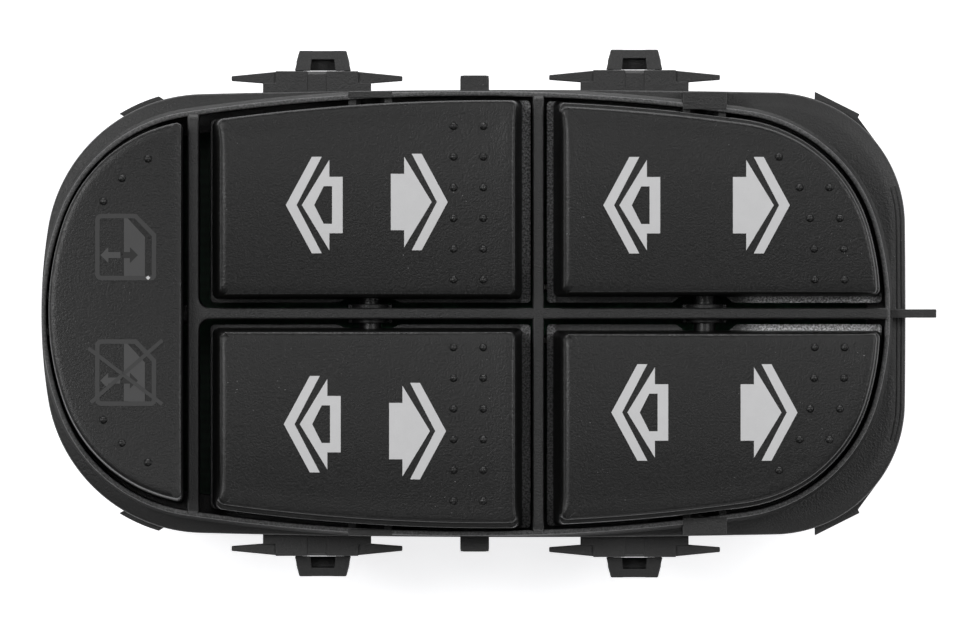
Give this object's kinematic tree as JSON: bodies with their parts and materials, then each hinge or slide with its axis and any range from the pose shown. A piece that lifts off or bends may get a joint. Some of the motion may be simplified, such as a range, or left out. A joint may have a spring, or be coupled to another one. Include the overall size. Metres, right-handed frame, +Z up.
{
  "type": "power window switch",
  "caption": "Driver's door switch pack: sprung window rockers and a latching rear-lock rocker in a moulded frame, on a clip-in tray with a connector socket.",
  "frame": {"origin": "middle of the bounding box's foot, on the rim of the connector socket", "axes": "+X along the pack from the lock rocker to the locating tab, +Y across the pack, +Z up out of the rockers' faces"},
  "size_m": [0.1098, 0.065, 0.0404],
  "materials": {
    "frame_plastic": "fine-grained moulded black",
    "base_plastic": "glass-filled moulded black, slightly rough",
    "rocker_plastic": "fine-grained moulded black",
    "board_laminate": "green solder mask",
    "plunger_plastic": "natural acetal",
    "spring_steel": "drawn wire",
    "contact_copper": "stamped copper alloy",
    "post_brass": "stamped brass",
    "contact_silver": "silver-plated",
    "terminal_tin": "tin-plated",
    "lamp_lens": "milky moulded lens"
  },
  "bodies": {
    "pack": {"bezel_frame": "frame_plastic", "switch_base": "base_plastic", "circuit_board": "board_laminate", "pivot_post_upper_left": "post_brass", "pivot_post_lower_left": "post_brass", "pivot_post_upper_right": "post_brass", "pivot_post_lower_right": "post_brass", "pivot_post_lock": "post_brass", "fixed_contact_upper_left_1": "contact_silver", "fixed_contact_upper_left_2": "contact_silver", "fixed_contact_lower_left_1": "contact_silver", "fixed_contact_lower_left_2": "contact_silver", "fixed_contact_upper_right_1": "contact_silver", "fixed_contact_upper_right_2": "contact_silver", "fixed_contact_lower_right_1": "contact_silver", "fixed_contact_lower_right_2": "contact_silver", "fixed_contact_lock_1": "contact_silver", "fixed_contact_lock_2": "contact_silver", "terminal_01": "terminal_tin", "terminal_02": "terminal_tin", "terminal_03": "terminal_tin", "terminal_04": "terminal_tin", "terminal_05": "terminal_tin", "terminal_06": "terminal_tin", "terminal_07": "terminal_tin", "terminal_08": "terminal_tin", "terminal_09": "terminal_tin", "terminal_10": "terminal_tin", "terminal_11": "terminal_tin", "terminal_12": "terminal_tin", "lamp_upper_left": "lamp_lens", "lamp_lower_left": "lamp_lens", "lamp_upper_right": "lamp_lens", "lamp_lower_right": "lamp_lens"},
    "upper_left_rocker": {"rocker_upper_left": "rocker_plastic", "spring_upper_left": "spring_steel"},
    "lower_left_rocker": {"rocker_lower_left": "rocker_plastic", "spring_lower_left": "spring_steel"},
    "upper_right_rocker": {"rocker_upper_right": "rocker_plastic", "spring_upper_right": "spring_steel"},
    "lower_right_rocker": {"rocker_lower_right": "rocker_plastic", "spring_lower_right": "spring_steel"},
    "lock_rocker_body": {"lock_rocker": "rocker_plastic", "spring_lock": "spring_steel"},
    "upper_left_plunger": {"plunger_upper_left": "plunger_plastic"},
    "lower_left_plunger": {"plunger_lower_left": "plunger_plastic"},
    "upper_right_plunger": {"plunger_upper_right": "plunger_plastic"},
    "lower_right_plunger": {"plunger_lower_right": "plunger_plastic"},
    "lock_plunger": {"plunger_lock": "plunger_plastic"},
    "upper_left_seesaw": {"seesaw_upper_left": "contact_copper"},
    "lower_left_seesaw": {"seesaw_lower_left": "contact_copper"},
    "upper_right_seesaw": {"seesaw_upper_right": "contact_copper"},
    "lower_right_seesaw": {"seesaw_lower_right": "contact_copper"},
    "lock_seesaw": {"seesaw_lock": "contact_copper"}
  },
  "joints": [
    {"name": "upper_left_tilt", "type": "hinge", "parent": "pack", "child": "upper_left_rocker", "pos_m": [-0.0145, 0.01397, 0.031], "axis": [0, 1, 0], "range_deg": [-6, 6], "stiffness_Nm_per_rad": 0.3},
    {"name": "lower_left_tilt", "type": "hinge", "parent": "pack", "child": "lower_left_rocker", "pos_m": [-0.0145, -0.01397, 0.031], "axis": [0, 1, 0], "range_deg": [-6, 6], "stiffness_Nm_per_rad": 0.3},
    {"name": "upper_right_tilt", "type": "hinge", "parent": "pack", "child": "upper_right_rocker", "pos_m": [0.0265, 0.01397, 0.031], "axis": [0, 1, 0], "range_deg": [-6, 6], "stiffness_Nm_per_rad": 0.3},
    {"name": "lower_right_tilt", "type": "hinge", "parent": "pack", "child": "lower_right_rocker", "pos_m": [0.0265, -0.01397, 0.031], "axis": [0, 1, 0], "range_deg": [-6, 6], "stiffness_Nm_per_rad": 0.3},
    {"name": "lock_tilt", "type": "hinge", "parent": "pack", "child": "lock_rocker_body", "pos_m": [-0.046, 0, 0.031], "axis": [1, 0, 0], "range_deg": [0, 5]},
    {"name": "upper_left_press", "type": "slide", "parent": "upper_left_rocker", "child": "upper_left_plunger", "axis": [0, 0, 1], "range_m": [0, 0.0004], "stiffness_N_per_m": 800, "deforming": ["spring_upper_left"]},
    {"name": "lower_left_press", "type": "slide", "parent": "lower_left_rocker", "child": "lower_left_plunger", "axis": [0, 0, 1], "range_m": [0, 0.0004], "stiffness_N_per_m": 800, "deforming": ["spring_lower_left"]},
    {"name": "upper_right_press", "type": "slide", "parent": "upper_right_rocker", "child": "upper_right_plunger", "axis": [0, 0, 1], "range_m": [0, 0.0004], "stiffness_N_per_m": 800, "deforming": ["spring_upper_right"]},
    {"name": "lower_right_press", "type": "slide", "parent": "lower_right_rocker", "child": "lower_right_plunger", "axis": [0, 0, 1], "range_m": [0, 0.0004], "stiffness_N_per_m": 800, "deforming": ["spring_lower_right"]},
    {"name": "lock_press", "type": "slide", "parent": "lock_rocker_body", "child": "lock_plunger", "axis": [0, 0.0436, 0.999], "range_m": [0, 0.0004], "stiffness_N_per_m": 800, "deforming": ["spring_lock"]},
    {"name": "upper_left_contact", "type": "hinge", "parent": "pack", "child": "upper_left_seesaw", "pos_m": [-0.0145, 0.01397, 0.02], "axis": [0, 1, 0], "range_deg": [-5.3, 5.3]},
    {"name": "lower_left_contact", "type": "hinge", "parent": "pack", "child": "lower_left_seesaw", "pos_m": [-0.0145, -0.01397, 0.02], "axis": [0, 1, 0], "range_deg": [-5.3, 5.3]},
    {"name": "upper_right_contact", "type": "hinge", "parent": "pack", "child": "upper_right_seesaw", "pos_m": [0.0265, 0.01397, 0.02], "axis": [0, 1, 0], "range_deg": [-5.3, 5.3]},
    {"name": "lower_right_contact", "type": "hinge", "parent": "pack", "child": "lower_right_seesaw", "pos_m": [0.0265, -0.01397, 0.02], "axis": [0, 1, 0], "range_deg": [-5.3, 5.3]},
    {"name": "lock_contact", "type": "hinge", "parent": "pack", "child": "lock_seesaw", "pos_m": [-0.046, 0, 0.02], "axis": [1, 0, 0], "range_deg": [-4.41, 0]}
  ],
  "couplings": [
    {"joint": "upper_left_contact", "follows": "upper_left_tilt", "ratio": -0.88},
    {"joint": "lower_left_contact", "follows": "lower_left_tilt", "ratio": -0.88},
    {"joint": "upper_right_contact", "follows": "upper_right_tilt", "ratio": -0.88},
    {"joint": "lower_right_contact", "follows": "lower_right_tilt", "ratio": -0.88},
    {"joint": "lock_contact", "follows": "lock_tilt", "ratio": -0.88}
  ]
}
